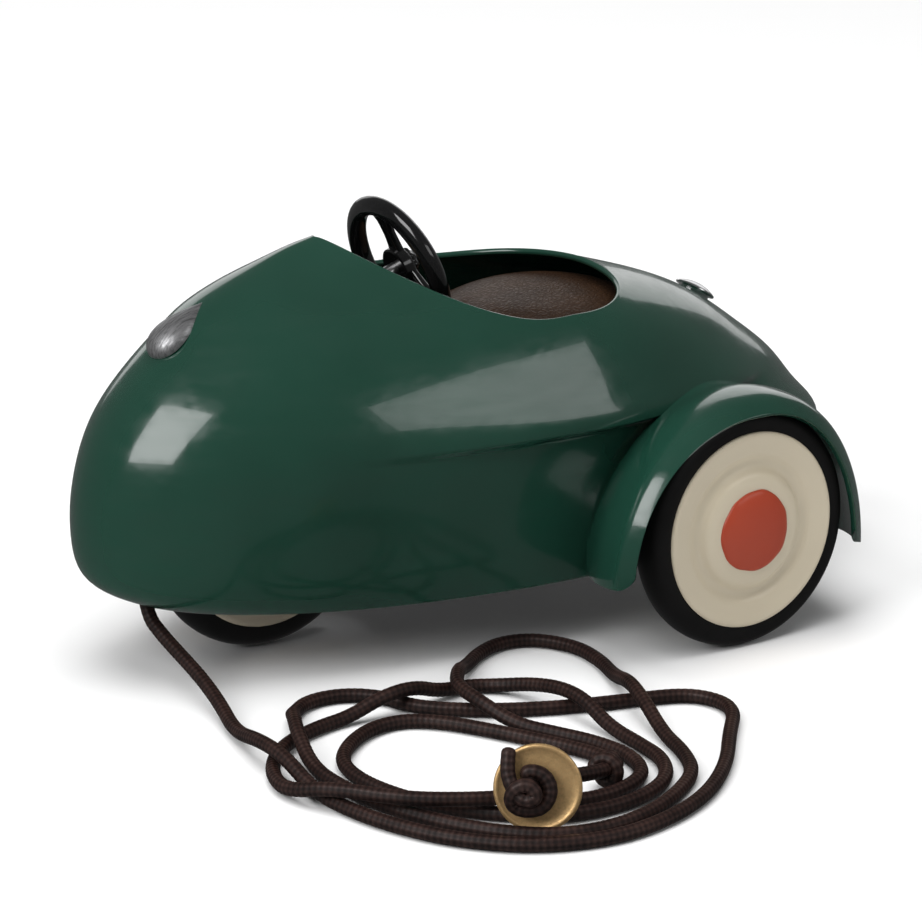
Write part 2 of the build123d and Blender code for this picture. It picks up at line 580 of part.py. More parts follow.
# ---------------------------------------------------------------- nodes
def build_nodes():
    form = body_form()
    hollow = body_form(inset=1.1, drop=0.9)
    nodes = {
        "body_shell": body_shell(form),
        "floor_plate": floor_plate(),
        "headlight": headlight(form),
        "tail_cap": tail_cap(form),
        "seat_cushion": seat_cushion(),
        "seat_base": seat_base(),
        "seat_frame": seat_frame(),
        "dash_bracket": dash_bracket(hollow),
        "column_bush": column_bush(),
        "steering_wheel": steering_wheel(),
        "steering_cap": steering_cap(),
        "steering_column": steering_column(),
        "column_clip": column_clip(),
        "front_disc": front_disc(),
        "front_tyre": front_tyre(),
        "front_axle": bar_y(AXLE_R, -14.1, 14.1, FRONT_AXLE_X, WHEEL_R),
        "rear_axle": bar_y(AXLE_R, -62.1, 62.1, REAR_AXLE_X, WHEEL_R),
        "cord_eyelet": cord_eyelet(),
        "cord_inner_knot": cord_inner_knot(),
        "pull_cord": pull_cord(),
        "cord_hitch": cord_hitch(),
        "brass_disc": brass_disc(),
        "cord_end_knot": cord_end_knot(),
    }
    for name, side in (("left", 1), ("right", -1)):
        tyre, disc, cap = rear_wheel(side)
        nodes.update({
            f"fender_{name}": fender(side, form),
            f"rear_tyre_{name}": tyre,
            f"rear_disc_{name}": disc,
            f"rear_cap_{name}": cap,
            f"rear_spacer_{name}": spacer(side),
            f"rear_bracket_{name}": bracket(REAR_AXLE_X, REAR_EAR_Y, side),
            f"rear_bush_{name}": bush(REAR_AXLE_X, REAR_EAR_Y, side, True),
            f"front_bracket_{name}": bracket(FRONT_AXLE_X, FRONT_EAR_Y, side),
            f"front_bush_{name}": bush(FRONT_AXLE_X, FRONT_EAR_Y, side, False),
            f"front_cap_{name}": front_cap(side),
            f"axle_clip_{name}": axle_clip(side),
        })
    for i, tab in enumerate(shell_tabs(hollow), 1):
        nodes[f"shell_tab_{i}"] = tab
    for i, screw in enumerate(floor_screws(), 1):
        nodes[f"floor_screw_{i}"] = screw
    for i, (x, y) in enumerate(BRACKET_RIVETS, 1):
        nodes[f"bracket_rivet_{i}"] = rivet(x, y)
    for i, (x, y) in enumerate(SEAT_RIVETS, 1):
        nodes[f"seat_rivet_{i}"] = rivet(x, y)
    return nodes


def main():
    os.makedirs("parts", exist_ok=True)
    for name, shape in build_nodes().items():
        solids = shape.solids()
        print(name, len(solids), round(sum(s.volume for s in solids), 1))
        export_step(shape, f"parts/{name}.step")


if __name__ == "__main__":
    main()
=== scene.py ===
"""Pull-along teardrop toy car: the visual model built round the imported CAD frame, in metres."""

import json
import math

import bmesh
import bpy
import numpy as np
from mathutils import Matrix, Vector


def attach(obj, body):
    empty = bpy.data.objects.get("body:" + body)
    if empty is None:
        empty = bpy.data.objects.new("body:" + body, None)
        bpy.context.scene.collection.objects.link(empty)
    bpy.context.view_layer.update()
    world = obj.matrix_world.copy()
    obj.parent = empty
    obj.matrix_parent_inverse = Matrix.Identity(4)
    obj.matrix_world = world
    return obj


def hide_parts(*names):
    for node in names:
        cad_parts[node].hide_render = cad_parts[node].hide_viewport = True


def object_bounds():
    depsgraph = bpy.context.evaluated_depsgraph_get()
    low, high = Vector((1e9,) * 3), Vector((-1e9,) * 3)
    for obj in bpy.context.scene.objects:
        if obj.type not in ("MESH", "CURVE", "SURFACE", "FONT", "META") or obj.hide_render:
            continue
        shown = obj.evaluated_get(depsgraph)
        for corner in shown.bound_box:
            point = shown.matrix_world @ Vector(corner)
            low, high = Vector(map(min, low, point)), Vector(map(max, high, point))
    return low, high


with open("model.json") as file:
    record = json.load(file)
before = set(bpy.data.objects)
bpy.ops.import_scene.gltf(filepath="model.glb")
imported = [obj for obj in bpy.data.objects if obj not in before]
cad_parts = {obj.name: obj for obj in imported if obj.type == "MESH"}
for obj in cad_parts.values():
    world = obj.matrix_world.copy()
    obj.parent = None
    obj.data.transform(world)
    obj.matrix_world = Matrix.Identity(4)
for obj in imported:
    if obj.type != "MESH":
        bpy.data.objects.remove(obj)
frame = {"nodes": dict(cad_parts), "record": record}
cad_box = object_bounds()
nodes = frame["nodes"]
MM = 0.001


# ================================================================ helpers
def link(obj):
    bpy.context.scene.collection.objects.link(obj)
    return obj


def mesh_object(name, points_mm, faces, sharp=35.0, flip=False):
    """Smooth-shaded mesh object from points in millimetres."""
    if flip:
        faces = [tuple(reversed(f)) for f in faces]
    mesh = bpy.data.meshes.new(name)
    mesh.from_pydata((np.asarray(points_mm, float) * MM).tolist(), [], faces)
    mesh.validate()
    mesh.polygons.foreach_set("use_smooth", [True] * len(mesh.polygons))
    mesh.set_sharp_from_angle(angle=math.radians(sharp))
    return link(bpy.data.objects.new(name, mesh))


def outward(obj):
    """Makes every face point out of its closed mesh."""
    b = bmesh.new()
    b.from_mesh(obj.data)
    bmesh.ops.recalc_face_normals(b, faces=b.faces)
    b.to_mesh(obj.data)
    b.free()
    return obj


def natural_spline(t, values):
    """Natural cubic spline through values at t; values may have several columns."""
    t, y = np.asarray(t, float), np.asarray(values, float)
    n, h = len(t), np.diff(t)
    a, rhs = np.zeros((n, n)), np.zeros_like(y)
    a[0, 0] = a[-1, -1] = 1.0
    for i in range(1, n - 1):
        a[i, i - 1], a[i, i], a[i, i + 1] = h[i - 1], 2 * (h[i - 1] + h[i]), h[i]
        rhs[i] = 6 * ((y[i + 1] - y[i]) / h[i] - (y[i] - y[i - 1]) / h[i - 1])
    m = np.linalg.solve(a, rhs)

    def at(x):
        x = np.asarray(x, float)
        i = np.clip(np.searchsorted(t, x) - 1, 0, n - 2)
        u, v = t[i + 1] - x, x - t[i]
        hh = h[i]
        if y.ndim > 1:
            u, v, hh = u[..., None], v[..., None], hh[..., None]
        return (m[i] * u ** 3 + m[i + 1] * v ** 3) / (6 * hh) + (y[i] / hh - m[i] * hh / 6) * u + (
            y[i + 1] / hh - m[i + 1] * hh / 6) * v
    return at


def smooth_step(x):
    x = np.clip(x, 0.0, 1.0)
    return x * x * (3 - 2 * x)


def grid_normals(p, closed_cols, sign=1.0):
    """Unit normals of a grid of points p[row, column]."""
    rows = np.gradient(p, axis=0)
    if closed_cols:
        cols = (np.roll(p, -1, axis=1) - np.roll(p, 1, axis=1)) / 2
    else:
        cols = np.gradient(p, axis=1)
    n = np.cross(cols, rows) * sign
    return n / np.maximum(np.linalg.norm(n, axis=2, keepdims=True), 1e-9)


def sheet_body(name, p, normals, thickness, bead_start, bead_end, closed_cols):
    """Pressed sheet: outer grid p, inner grid one thickness below, rolled edges at both row ends."""
    along = np.gradient(p, axis=0)
    along /= np.maximum(np.linalg.norm(along, axis=2, keepdims=True), 1e-9)

    def edge(i, direction, radius):
        if not radius:
            return []
        half = thickness / 2
        centre = p[i] - normals[i] * half
        angles = np.radians(np.linspace(35, 145, 7))
        return [centre + normals[i] * (math.cos(a) * (half + (radius - half) * math.sin(a)))
                + direction * along[i] * (math.sin(a) * radius) for a in angles]

    rings = [p[i] for i in range(len(p))]
    rings += edge(len(p) - 1, 1, bead_end)
    rings += [p[i] - normals[i] * thickness for i in range(len(p) - 1, -1, -1)]
    rings += list(reversed(edge(0, -1, bead_start)))
    ring_count, col_count = len(rings), p.shape[1]
    points = np.concatenate(rings)
    faces = []
    last = col_count if closed_cols else col_count - 1
    for r in range(ring_count):
        r2 = (r + 1) % ring_count
        for c in range(last):
            c2 = (c + 1) % col_count
            faces.append((r * col_count + c, r * col_count + c2, r2 * col_count + c2, r2 * col_count + c))
    if not closed_cols:
        faces.append(tuple(r * col_count for r in range(ring_count)))
        faces.append(tuple(r * col_count + col_count - 1 for r in reversed(range(ring_count))))
    return outward(mesh_object(name, points, faces))


def lathe(name, profile, place=Matrix.Identity(4), count=144, wobble=None, sharp=40.0):
    """Solid turned about local Z. The profile is (radius, height) in mm; a radius of 0 makes a pole."""
    points, faces, starts = [], [], []
    for k, (r, h) in enumerate(profile):
        starts.append(len(points))
        if r < 1e-6:
            points.append((0, 0, h))
            continue
        for i in range(count):
            a = 2 * math.pi * i / count
            rr = r * (1 + wobble(a, k)) if wobble else r
            points.append((rr * math.cos(a), rr * math.sin(a), h))
    n = len(profile)
    closed = profile[0][0] > 1e-6 and profile[-1][0] > 1e-6
    for k in range(n if closed else n - 1):
        k2 = (k + 1) % n
        a0, b0 = starts[k], starts[k2]
        for i in range(count):
            j = (i + 1) % count
            if profile[k][0] < 1e-6:
                faces.append((a0, b0 + i, b0 + j))
            elif profile[k2][0] < 1e-6:
                faces.append((a0 + i, a0 + j, b0))
            else:
                faces.append((a0 + i, a0 + j, b0 + j, b0 + i))
    moved = [tuple(place @ Vector(q)) for q in points]
    return outward(mesh_object(name, moved, faces, sharp))


def facing_y(x, y, z, side):
    """Local Z along the outward Y direction of that side; millimetres."""
    return Matrix.Translation((x, y, z)) @ Matrix.Rotation(math.radians(-90 * side), 4, "X")


def rounded(points, passes=2):
    """Corner-cutting of an open profile, ends kept."""
    for _ in range(passes):
        out = [points[0]]
        for a, b in zip(points, points[1:]):
            out += [tuple(np.add(np.multiply(a, 0.75), np.multiply(b, 0.25))),
                    tuple(np.add(np.multiply(a, 0.25), np.multiply(b, 0.75)))]
        points = out + [points[-1]]
    return points


def carried(path):
    """Frames along a path: tangents and two cross directions that don't twist."""
    tangent = np.gradient(path, axis=0)
    tangent /= np.linalg.norm(tangent, axis=1, keepdims=True)
    first = np.cross(tangent[0], (0.3, 0.2, 1.0))
    across = [first / np.linalg.norm(first)]
    for t in tangent[1:]:
        a = across[-1] - t * np.dot(across[-1], t)
        across.append(a / np.linalg.norm(a))
    across = np.array(across)
    return tangent, across, np.cross(tangent, across)


def tube(name, path_mm, radius, count=24, relief=None, round_ends=True):
    """Round tube along a path in mm; UV u runs along in mm, v round. relief(s, angle) varies the radius."""
    path = np.asarray(path_mm, float)
    tangent, one, two = carried(path)
    s = np.concatenate([[0], np.cumsum(np.linalg.norm(np.diff(path, axis=0), axis=1))])
    angles = 2 * np.pi * np.arange(count) / count
    shape = np.ones((len(path), count)) * radius
    if relief is not None:
        shape = shape + relief(s[:, None], angles[None, :])
    points = path[:, None, :] + shape[..., None] * (
        np.cos(angles)[None, :, None] * one[:, None, :] + np.sin(angles)[None, :, None] * two[:, None, :])
    points = list(points.reshape(-1, 3))
    faces = []
    for r in range(len(path) - 1):
        for c in range(count):
            c2 = (c + 1) % count
            faces.append((r * count + c, r * count + c2, (r + 1) * count + c2, (r + 1) * count + c))
    for end, sign in ((0, -1), (len(path) - 1, 1)):
        ring = [end * count + c for c in range(count)]
        if round_ends:
            for k in (1, 2):
                a = math.radians(30 * k)
                base = len(points)
                for c in range(count):
                    away = np.array(points[end * count + c]) - path[end]
                    outwards = sign * tangent[end] * radius * 0.6
                    points.append(path[end] + away * math.cos(a) + outwards * math.sin(a))
                new = [base + c for c in range(count)]
                for c in range(count):
                    c2 = (c + 1) % count
                    q = (ring[c], ring[c2], new[c2], new[c])
                    faces.append(q if sign > 0 else tuple(reversed(q)))
                ring = new
            points.append(path[end] + sign * tangent[end] * radius * 0.6)
            top = len(points) - 1
            for c in range(count):
                tri = (ring[c], ring[(c + 1) % count], top)
                faces.append(tri if sign > 0 else tuple(reversed(tri)))
        else:
            faces.append(tuple(ring) if sign > 0 else tuple(reversed(ring)))
    obj = mesh_object(name, points, faces, 60.0)
    uv = obj.data.uv_layers.new(name="UVMap")
    body_faces = (len(path) - 1) * count
    values = np.zeros((len(obj.data.loops), 2))
    for f, poly in enumerate(obj.data.polygons):
        if f >= body_faces:
            continue
        r, c = divmod(f, count)
        around = ((c, r), (c + 1, r), (c + 1, r + 1), (c, r + 1))
        for loop, (cc, rr) in zip(poly.loop_indices, around):
            values[loop] = (s[rr], cc / count)
    uv.data.foreach_set("uv", values.ravel())
    return obj


# ================================================================ materials
class Nodes:
    """Small helper for building a node material."""

    def __init__(self, name):
        self.mat = bpy.data.materials.new(name)
        self.mat.use_nodes = True
        self.tree = self.mat.node_tree
        self.bsdf = self.tree.nodes["Principled BSDF"]

    def new(self, kind, **inputs):
        node = self.tree.nodes.new(kind)
        for key, value in inputs.items():
            name = key.replace("_", " ")
            if name in node.inputs:
                node.inputs[name].default_value = value
            else:
                setattr(node, key, value)
        return node

    def join(self, a, b):
        self.tree.links.new(a, b)
        return b.node

    def coords(self, scale=(1, 1, 1), kind="Object"):
        c = self.new("ShaderNodeTexCoord")
        m = self.new("ShaderNodeMapping")
        m.inputs["Scale"].default_value = scale
        self.join(c.outputs[kind], m.inputs["Vector"])
        return m.outputs["Vector"]

    def noise(self, vector, scale, detail=3.0, rough=0.5):
        n = self.new("ShaderNodeTexNoise", Scale=scale, Detail=detail, Roughness=rough)
        self.join(vector, n.inputs["Vector"])
        return n.outputs["Fac"]

    def ramp(self, fac, stops):
        r = self.new("ShaderNodeValToRGB")
        e = r.color_ramp.elements
        while len(e) < len(stops):
            e.new(0.5)
        for el, (pos, col) in zip(e, stops):
            el.position = pos
            el.color = (*col, 1.0) if len(col) == 3 else col
        self.join(fac, r.inputs["Fac"])
        return r.outputs["Color"]

    def math(self, op, a, b=None):
        m = self.new("ShaderNodeMath", operation=op)
        for i, v in enumerate((a, b)):
            if v is None:
                continue
            if isinstance(v, (int, float)):
                m.inputs[i].default_value = v
            else:
                self.join(v, m.inputs[i])
        return m.outputs[0]

    def span(self, fac, low, high, from_low=0.3, from_high=0.7):
        m = self.new("ShaderNodeMapRange")
        m.inputs["From Min"].default_value, m.inputs["From Max"].default_value = from_low, from_high
        m.inputs["To Min"].default_value, m.inputs["To Max"].default_value = low, high
        self.join(fac, m.inputs["Value"])
        return m.outputs["Result"]

    def bump(self, height, strength, distance):
        b = self.new("ShaderNodeBump", Strength=strength, Distance=distance)
        self.join(height, b.inputs["Height"])
        self.join(b.outputs["Normal"], self.bsdf.inputs["Normal"])
        return b

    def set(self, **values):
        for key, v in values.items():
            socket = self.bsdf.inputs[key.replace("_", " ")]
            if isinstance(v, (int, float, tuple)):
                socket.default_value = v
            else:
                self.join(v, socket)
        return self


def enamel(name, colour, dark, rough=0.16, coat=0.5, peel=0.05, vary=1.0):
    """Glossy brushed-on enamel: slight colour drift, faint orange peel and fine dust specks."""
    n = Nodes(name)
    v = n.coords()
    drift = n.noise(v, 28.0, 2.0)
    colour_out = n.ramp(drift, [(0.35, dark), (0.65, colour)])
    streak = n.noise(n.coords((90, 90, 420)), 1.0, 4.0)
    uneven = n.span(streak, rough * (1 - 0.25 * vary), rough * (1 + 0.5 * vary))
    n.set(Base_Color=colour_out, Roughness=uneven, Coat_Weight=coat,
          Coat_Roughness=0.04)
    wave = n.noise(v, 260.0, 1.0)
    speck = n.noise(v, 2600.0, 2.0)
    n.bump(n.math("ADD", wave, n.math("MULTIPLY", speck, 0.05)), peel, 0.0012)
    return n.mat


def brushed(name, colour, rough, stretch, streak_dark=0.55, metallic=1.0):
    """Metal or metallic paint with fine streaks along one direction."""
    n = Nodes(name)
    line = n.noise(n.coords(stretch), 1.0, 6.0, 0.65)
    dark = tuple(c * streak_dark for c in colour)
    n.set(Base_Color=n.ramp(line, [(0.32, dark), (0.6, colour)]), Metallic=metallic,
          Roughness=n.span(line, rough * 1.35, rough * 0.7))
    n.bump(line, 0.25, 0.0003)
    return n.mat


def plated(name, colour, rough=0.28):
    """Plain plated steel or brass with cloudy handling marks."""
    n = Nodes(name)
    v = n.coords()
    cloud = n.noise(v, 110.0, 5.0, 0.6)
    fine = n.noise(v, 1500.0, 3.0)
    dark = tuple(c * 0.72 for c in colour)
    n.set(Base_Color=n.ramp(cloud, [(0.35, dark), (0.62, colour)]), Metallic=1.0,
          Roughness=n.span(cloud, rough * 1.4, rough * 0.8))
    n.bump(fine, 0.08, 0.0002)
    return n.mat


def satin_rubber(name):
    n = Nodes(name)
    v = n.coords()
    cloud = n.noise(v, 60.0, 4.0)
    fine = n.noise(v, 1400.0, 4.0, 0.6)
    n.set(Base_Color=n.ramp(cloud, [(0.3, (0.0035, 0.0033, 0.0035)), (0.7, (0.0062, 0.0056, 0.0058))]),
          Roughness=n.span(cloud, 0.42, 0.55), Specular_IOR_Level=0.3)
    n.bump(fine, 0.12, 0.0002)
    return n.mat


def leather(name):
    """Dark brown leather with small pebbled grain, painted shade in the grain's hollows and painted highlight
    on its crowns.
    """
    n = Nodes(name)
    v = n.coords()
    warp = n.new("ShaderNodeTexNoise", Scale=420.0, Detail=2.0)
    n.join(v, warp.inputs["Vector"])
    mix = n.new("ShaderNodeMixRGB", blend_type="LINEAR_LIGHT")
    mix.inputs["Fac"].default_value = 0.0012
    n.join(v, mix.inputs[1])
    n.join(warp.outputs["Color"], mix.inputs[2])
    cell = n.new("ShaderNodeTexVoronoi", feature="F1", Scale=900.0)
    cell.feature = "DISTANCE_TO_EDGE"
    n.join(mix.outputs[0], cell.inputs["Vector"])
    pebble = n.span(cell.outputs["Distance"], 0.0, 1.0, 0.0, 0.32)
    tone = n.noise(v, 90.0, 4.0)
    base = n.ramp(tone, [(0.3, (0.017, 0.0085, 0.0045)), (0.7, (0.036, 0.0185, 0.0095))])
    # the pebble ramp multiplies the colour: painted shade in the grain's hollows, painted highlight on the
    # pebble crowns
    dark = n.new("ShaderNodeMixRGB", blend_type="MULTIPLY")
    dark.inputs["Fac"].default_value = 0.55
    n.join(base, dark.inputs[1])
    n.join(n.ramp(pebble, [(0.0, (0.45, 0.42, 0.4)), (0.6, (1.15, 1.12, 1.1))]), dark.inputs[2])
    n.set(Base_Color=dark.outputs[0], Roughness=n.span(pebble, 0.52, 0.34, 0.0, 1.0), Specular_IOR_Level=0.4)
    n.bump(pebble, 0.35, 0.0003)
    return n.mat


def braid(name):
    """Waxed round braid: diagonal plaits from the tube's own UV map, with painted shade in the grooves
    between plaits, painted highlight on their crowns and lighter flecks.
    """
    n = Nodes(name)
    uv = n.new("ShaderNodeUVMap", uv_map="UVMap")
    sep = n.new("ShaderNodeSeparateXYZ")
    n.join(uv.outputs["UV"], sep.inputs[0])
    along = n.math("MULTIPLY", sep.outputs["X"], 2 * math.pi / 2.6)
    round_ = n.math("MULTIPLY", sep.outputs["Y"], 2 * math.pi * 4)
    left = n.math("SINE", n.math("ADD", along, round_))
    right = n.math("SINE", n.math("SUBTRACT", along, round_))
    plait = n.math("MULTIPLY", left, right)
    cloud = n.noise(n.coords(), 150.0, 4.0)
    fleck = n.noise(n.coords(), 1800.0, 2.0)
    # colour from the plait relief: painted shade in the grooves, painted highlight on the crowns; cloud and
    # flecks vary the tone at random
    tone = n.math("ADD", n.math("MULTIPLY", plait, 0.22), n.math("ADD", n.math("MULTIPLY", cloud, 0.7),
                                                                  n.math("MULTIPLY", fleck, 0.3)))
    n.set(Base_Color=n.ramp(tone, [(0.25, (0.007, 0.0032, 0.0027)), (0.5, (0.018, 0.0085, 0.007)),
                                   (0.85, (0.042, 0.022, 0.018))]),
          Roughness=n.span(tone, 0.62, 0.46, 0.2, 0.8), Specular_IOR_Level=0.28)
    n.bump(n.math("ADD", plait, n.math("MULTIPLY", fleck, 0.8)), 0.2, 0.00014)
    return n.mat


def board(name):
    n = Nodes(name)
    grain = n.noise(n.coords((30, 420, 420)), 1.0, 5.0, 0.6)
    n.set(Base_Color=n.ramp(grain, [(0.3, (0.24, 0.14, 0.07)), (0.7, (0.42, 0.28, 0.15))]), Roughness=0.6)
    n.bump(grain, 0.2, 0.0003)
    return n.mat


GREEN = enamel("green_enamel", (0.0095, 0.046, 0.030), (0.0075, 0.038, 0.0245))
CREAM = enamel("cream_enamel", (0.60, 0.53, 0.40), (0.58, 0.51, 0.383),
               rough=0.36, coat=0.15, peel=0.012, vary=0.2)
RED = enamel("red_enamel", (0.40, 0.050, 0.018), (0.37, 0.043, 0.0155),
             rough=0.38, coat=0.1, peel=0.02, vary=0.2)
BLACK = enamel("black_gloss", (0.0045, 0.0045, 0.0048), (0.0035, 0.0035, 0.0035),
               rough=0.12, coat=0.35, peel=0.04)
SILVER = brushed("silver_paint", (0.44, 0.44, 0.45), 0.46, (260, 2600, 700), 0.32, 0.9)
CHROME = plated("chrome_plate", (0.78, 0.78, 0.79), 0.1)
STEEL = plated("plated_steel", (0.52, 0.52, 0.53), 0.3)
BUSH_BRASS = plated("turned_brass", (0.62, 0.45, 0.2), 0.3)
TAG_BRASS = brushed("stamped_brass", (0.86, 0.57, 0.27), 0.42, (900, 700, 900), 0.72, 0.85)
RUBBER = satin_rubber("satin_rubber")
LEATHER = leather("seat_leather")
CORD = braid("waxed_braid")
BOARD = board("seat_board")

BY_SLOT = {"body_paint": GREEN, "lamp_silver": SILVER, "chrome": CHROME, "seat_leather": LEATHER,
           "seat_board": BOARD, "steel": STEEL, "bush_brass": BUSH_BRASS, "black_gloss": BLACK,
           "tyre_rubber": RUBBER, "wheel_cream": CREAM, "cap_red": RED, "cord_brown": CORD,
           "tag_brass": TAG_BRASS}
for part in frame["record"]["subparts"]:
    node = nodes[part["node"]]
    node.data.materials.clear()
    node.data.materials.append(BY_SLOT[part["material_slot"]])


def place(obj, body, slot, *replaced):
    """Gives a piece the material of its slot, parents it to its body and hides the CAD nodes that it stands
    for.
    """
    obj.data.materials.clear()
    obj.data.materials.append(BY_SLOT[slot])
    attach(obj, body)
    if replaced:
        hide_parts(*replaced)
    return obj


# ================================================================ camera
camera = link(bpy.data.objects.new("camera", bpy.data.cameras.new("camera")))
camera.data.lens, camera.data.sensor_width = 150.6, 36.0
camera.data.clip_start, camera.data.clip_end = 0.01, 50.0
camera.location = (0.4588, 0.6632, 0.2672)
camera.rotation_mode = "QUATERNION"
camera.rotation_quaternion = Vector((-0.5452, -0.7899, -0.2808)).to_track_quat("-Z", "Y")
bpy.context.scene.camera = camera

# ================================================================ pull cord
CORD_R = 1.5
EYELET_X, EYELET_TOP_Z = 81.3, 19.7
CORD_ROUTE = [
    # out of the eyelet and down to the floor
    (EYELET_X, 0, EYELET_TOP_Z), (81.5, 1.5, 12.2), (81.7, 9, 9.3), (82, 17, 7.2), (82.7, 26, 5.2),
    (84.5, 36, 3.1),
    (88.3, 48, 1.6), (91.3, 62, 4.9), (92, 72, 4.9), (92.5, 83, 1.6),
    # the outermost loop
    (92.6, 93), (90.5, 105), (85, 118.5), (74.5, 130), (59.5, 135.2), (44, 132.6),
    (31, 126.5), (18.5, 116), (8, 103.5), (-1, 94), (-2, 86.4), (1.9, 80.2), (14, 76.7), (26, 72.8),
    (36, 68), (44, 62.5), (50.8, 55.5), (53, 46.5), (59.1, 41), (67.3, 40.7), (73.6, 45.6),
    (78, 53, 4.9), (83, 62.5, 4.9), (86.4, 73, 1.8),
    # the second loop, which lies in front of the disc
    (87.2, 84), (86, 97), (82, 110), (76, 120.5), (68, 128.2), (57, 130.6), (46, 128.4), (36, 123.3),
    (27, 116.5), (22, 107), (19, 96.5), (15.5, 85, 4.9), (11.5, 75, 4.9), (7, 64.5, 1.8),
    (3, 54), (2, 44), (6, 35.5), (13.5, 32.8), (21.5, 36), (30, 43, 1.9),
    (36.4, 50.2, 5.1), (42, 57.5, 5), (43.3, 67, 4.9), (40.6, 76, 1.9),
    (36.3, 84), (32.6, 93), (31.6, 103), (35.5, 112.2), (45, 116.8), (56, 117.2, 1.9),
    # over the first loops and back towards the nose
    (66, 115.7, 4.9), (76, 111, 4.9), (86, 103.5, 4.9), (93.8, 91.5, 4.9), (97.3, 81.5, 1.9),
    (95, 72.5), (89.5, 64), (82, 58), (73, 54.5), (65, 53.2),
    (57.5, 54.5, 4.9), (49.5, 53.5, 4.9), (42.3, 52, 2.1), (35, 51.3, 1.5), (29.4, 55, 1.6),
    (26.4, 62.5, 3.5), (25.2, 71, 4.9), (25.3, 79, 4.7), (26, 88, 1.9), (26.3, 98),
    # the inner loop, then up through the disc
    (27.5, 107.5), (33, 116), (41.5, 121), (51, 122.6), (61, 120.8), (70, 114), (77.3, 104.5), (81.3, 93),
    (82.3, 82.5), (79.8, 73), (73.3, 66), (65, 61), (57, 60.7), (50.7, 66.5), (46.2, 75), (42, 84),
    (38, 93.5), (36.8, 102.5, 2), (39.8, 109.6, 3.6), (47, 113, 4.8), (55, 114.8, 6.2),
    (63.4, 116.4, 7.7), (68, 121.9, 8.75),
]


def nurbs_line(name, points_mm, resolution):
    """Points (mm) along a smooth NURBS line through the given control points."""
    data = bpy.data.curves.new(name, "CURVE")
    data.dimensions = "3D"
    spline = data.splines.new("NURBS")
    spline.points.add(len(points_mm) - 1)
    for point, p in zip(spline.points, points_mm):
        x, y, z = p if len(p) == 3 else (*p, CORD_R)
        point.co = (x * MM, y * MM, z * MM, 1.0)
    spline.order_u = 3
    spline.use_endpoint_u = True
    spline.resolution_u = resolution
    obj = link(bpy.data.objects.new(name, data))
    bpy.context.view_layer.update()
    mesh = bpy.data.meshes.new_from_object(obj)
    line = np.array([v.co for v in mesh.vertices]) / MM
    bpy.data.meshes.remove(mesh)
    bpy.data.objects.remove(obj)
    return line


def plaited(s, angle):
    """Relief of a round braid of eight strands."""
    along = 2 * np.pi * s / 2.6
    return 0.045 * np.sin(along + 4 * angle) * np.sin(along - 4 * angle) - 0.06


cord_line = nurbs_line("cord_line", CORD_ROUTE, 30)
cord = place(tube("pull_cord_braid", cord_line, CORD_R, 24, plaited), "car", "cord_brown", "pull_cord")

DISC_AT = Vector((67.4, 121.2, 8.6))
turn, tilt = math.radians(38.0), math.radians(12.0)
disc_out = Vector((math.sin(turn) * math.cos(tilt), math.cos(turn) * math.cos(tilt), math.sin(tilt)))
disc_right = Vector((-math.cos(turn), math.sin(turn), 0.0))          # to the right when the face is seen
disc_up = disc_out.cross(disc_right) * -1.0
if disc_up.z < 0:
    disc_up.negate()
DISC_FRAME = Matrix((disc_right, disc_up, disc_out)).transposed().to_4x4()
DISC_FRAME.translation = DISC_AT

disc_profile = [(1.9, -0.55), (2.4, -0.6), (7.6, -0.6), (8.1, -0.5), (8.3, -0.25), (8.3, 0.3), (8.1, 0.55),
                (7.7, 0.62), (7.35, 0.5), (7.2, 0.42), (6.0, 0.42), (4.0, 0.42), (2.9, 0.42), (2.6, 0.55),
                (2.2, 0.6), (1.9, 0.5)]
disc = place(lathe("brass_disc_tag", disc_profile, DISC_FRAME, 96, sharp=50),
             "car", "tag_brass", "brass_disc")

KNOT_ROUTE = [(0.0, 0.0, 0.4), (-0.5, 0.5, 2.0), (-2.6, 3.6, 2.4), (1.2, 3.2, 2.6), (2.8, 0.0, 2.6),
              (1.2, -3.4, 2.6), (-2.4, -4.0, 2.8), (-5.0, -2.6, 3.4), (-4.4, 0.4, 5.0), (-1.6, 1.6, 5.2),
              (0.2, -0.8, 5.0), (-1.8, -2.0, 4.8), (-4.0, -0.6, 4.4), (-5.4, 2.4, 3.4), (-5.6, 4.8, 3.0),
              (-5.4, 7.0, 2.4)]
knot_points = [tuple(DISC_FRAME @ Vector(p)) for p in KNOT_ROUTE]
end_knot = place(tube("cord_end_knot_wrap", nurbs_line("knot_line", knot_points, 16), 1.45, 20, plaited),
                 "car", "cord_brown", "cord_end_knot")

hitch_a, hitch_b = Vector((39.8, 109.6, 3.6)), Vector((47.0, 113.0, 4.8))
hitch_z = (hitch_b - hitch_a).normalized()
hitch_x = Vector((hitch_z.y, -hitch_z.x, 0)).normalized()
hitch_y = hitch_z.cross(hitch_x)
HITCH_FRAME = Matrix((hitch_x, hitch_y, hitch_z)).transposed().to_4x4()
HITCH_FRAME.translation = (hitch_a + hitch_b) / 2
hitch_points = []
for i in range(13):
    a = math.radians(-150 + 45 * i)
    reach = 2.55 if 0 < i < 12 else 1.2
    around = Vector((reach * math.cos(a) + 0.4, reach * math.sin(a) + 0.4, -1.9 + 0.33 * i))
    hitch_points.append(tuple(HITCH_FRAME @ around))
hitch = place(tube("cord_hitch_wrap", nurbs_line("hitch_line", hitch_points, 14), 1.35, 20, plaited),
              "car", "cord_brown", "cord_hitch")

stopper_points = [(EYELET_X + 1.2 * math.cos(a), 1.2 * math.sin(a), 21.2 + 0.42 * i)
                  for i, a in enumerate(np.radians(np.arange(0, 541, 60)))]
place(tube("cord_stopper_knot", nurbs_line("stopper_line", stopper_points, 12), 1.3, 20, plaited),
      "car", "cord_brown", "cord_inner_knot")

